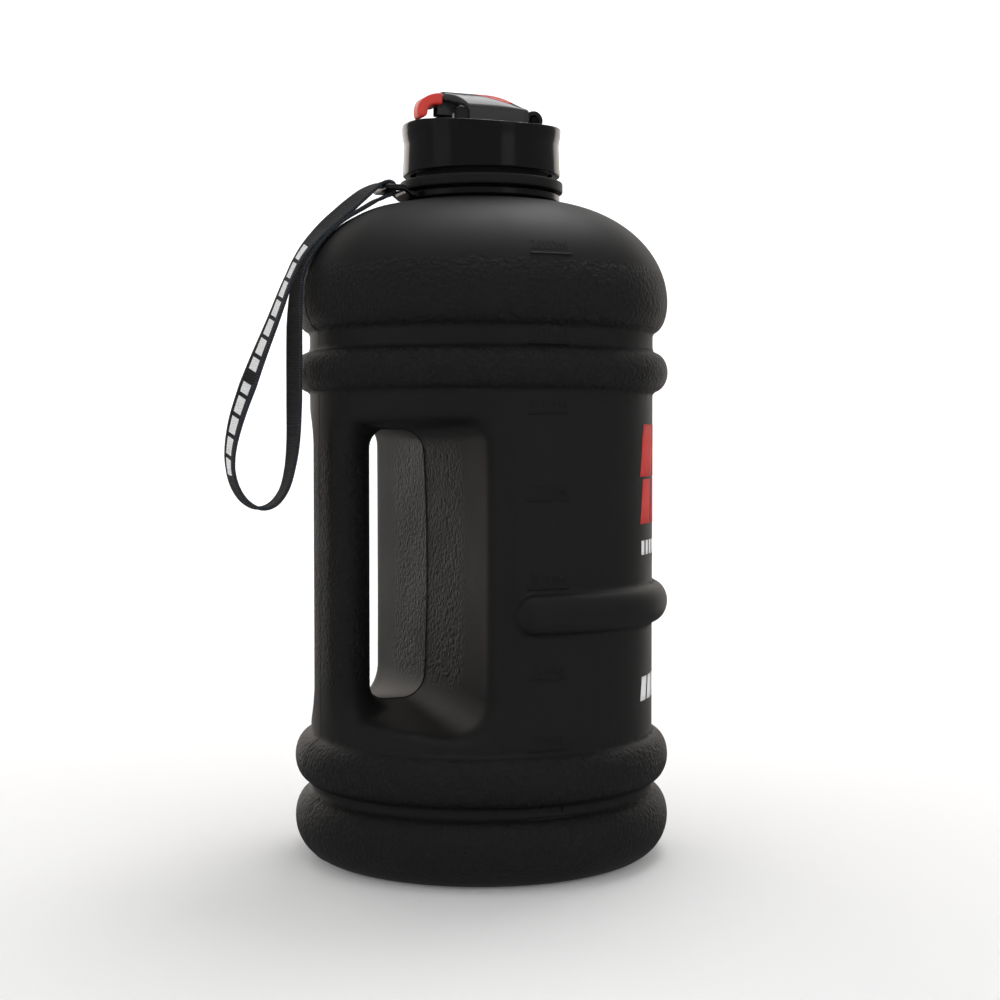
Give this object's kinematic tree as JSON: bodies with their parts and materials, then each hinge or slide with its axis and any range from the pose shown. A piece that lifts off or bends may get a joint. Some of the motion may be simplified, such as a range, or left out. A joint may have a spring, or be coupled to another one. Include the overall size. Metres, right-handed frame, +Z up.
{
  "type": "water jug",
  "caption": "Large plastic sports water jug with a through hand grip, screw cap with flip lid over a drinking spout, and a webbing wrist strap on a swivelling carrier ring.",
  "frame": {"origin": "centre of the base, on the surface that the jug stands on", "axes": "+Z up along the jug's axis; +X out of the printed front, so the hand grip is at -X; Y along the grip's through hole"},
  "size_m": [0.1611, 0.135, 0.2731],
  "materials": {
    "soft_black": "soft-touch coated, blow moulded",
    "gloss_black": "glossy injection moulded",
    "lid_black": "satin injection moulded",
    "webbing": "woven polyester webbing",
    "red_plastic": "satin injection moulded",
    "silicone": "moulded silicone",
    "pin_steel": "drawn wire"
  },
  "bodies": {
    "jug": {"jug_body": "soft_black"},
    "carrier": {"carrier_ring": "gloss_black", "wrist_strap": "webbing"},
    "gasket": {"cap_gasket": "silicone"},
    "cap": {"screw_cap": "gloss_black", "hinge_pin": "pin_steel"},
    "lid": {"flip_lid": "lid_black", "lid_inlay": "red_plastic", "thumb_tab": "red_plastic", "lid_seal": "silicone"}
  },
  "joints": [
    {"name": "carrier_swivel", "type": "hinge", "parent": "jug", "child": "carrier", "pos_m": [0, 0, 0.2355], "axis": [0, 0, 1], "continuous": true},
    {"name": "cap_lift", "type": "slide", "parent": "jug", "child": "gasket", "axis": [0, 0, 1], "range_m": [0, 0.01801]},
    {"name": "cap_turn", "type": "hinge", "parent": "gasket", "child": "cap", "pos_m": [0, 0, 0.25], "axis": [0, 0, 1], "range_deg": [0, 1080]},
    {"name": "lid_flip", "type": "hinge", "parent": "cap", "child": "lid", "pos_m": [0.017, 0, 0.2639], "axis": [0, 1, 0], "range_deg": [0, 130]}
  ],
  "couplings": [
    {"joint": "cap_lift", "follows": "cap_turn", "m_per_rad": 0.00095493}
  ]
}
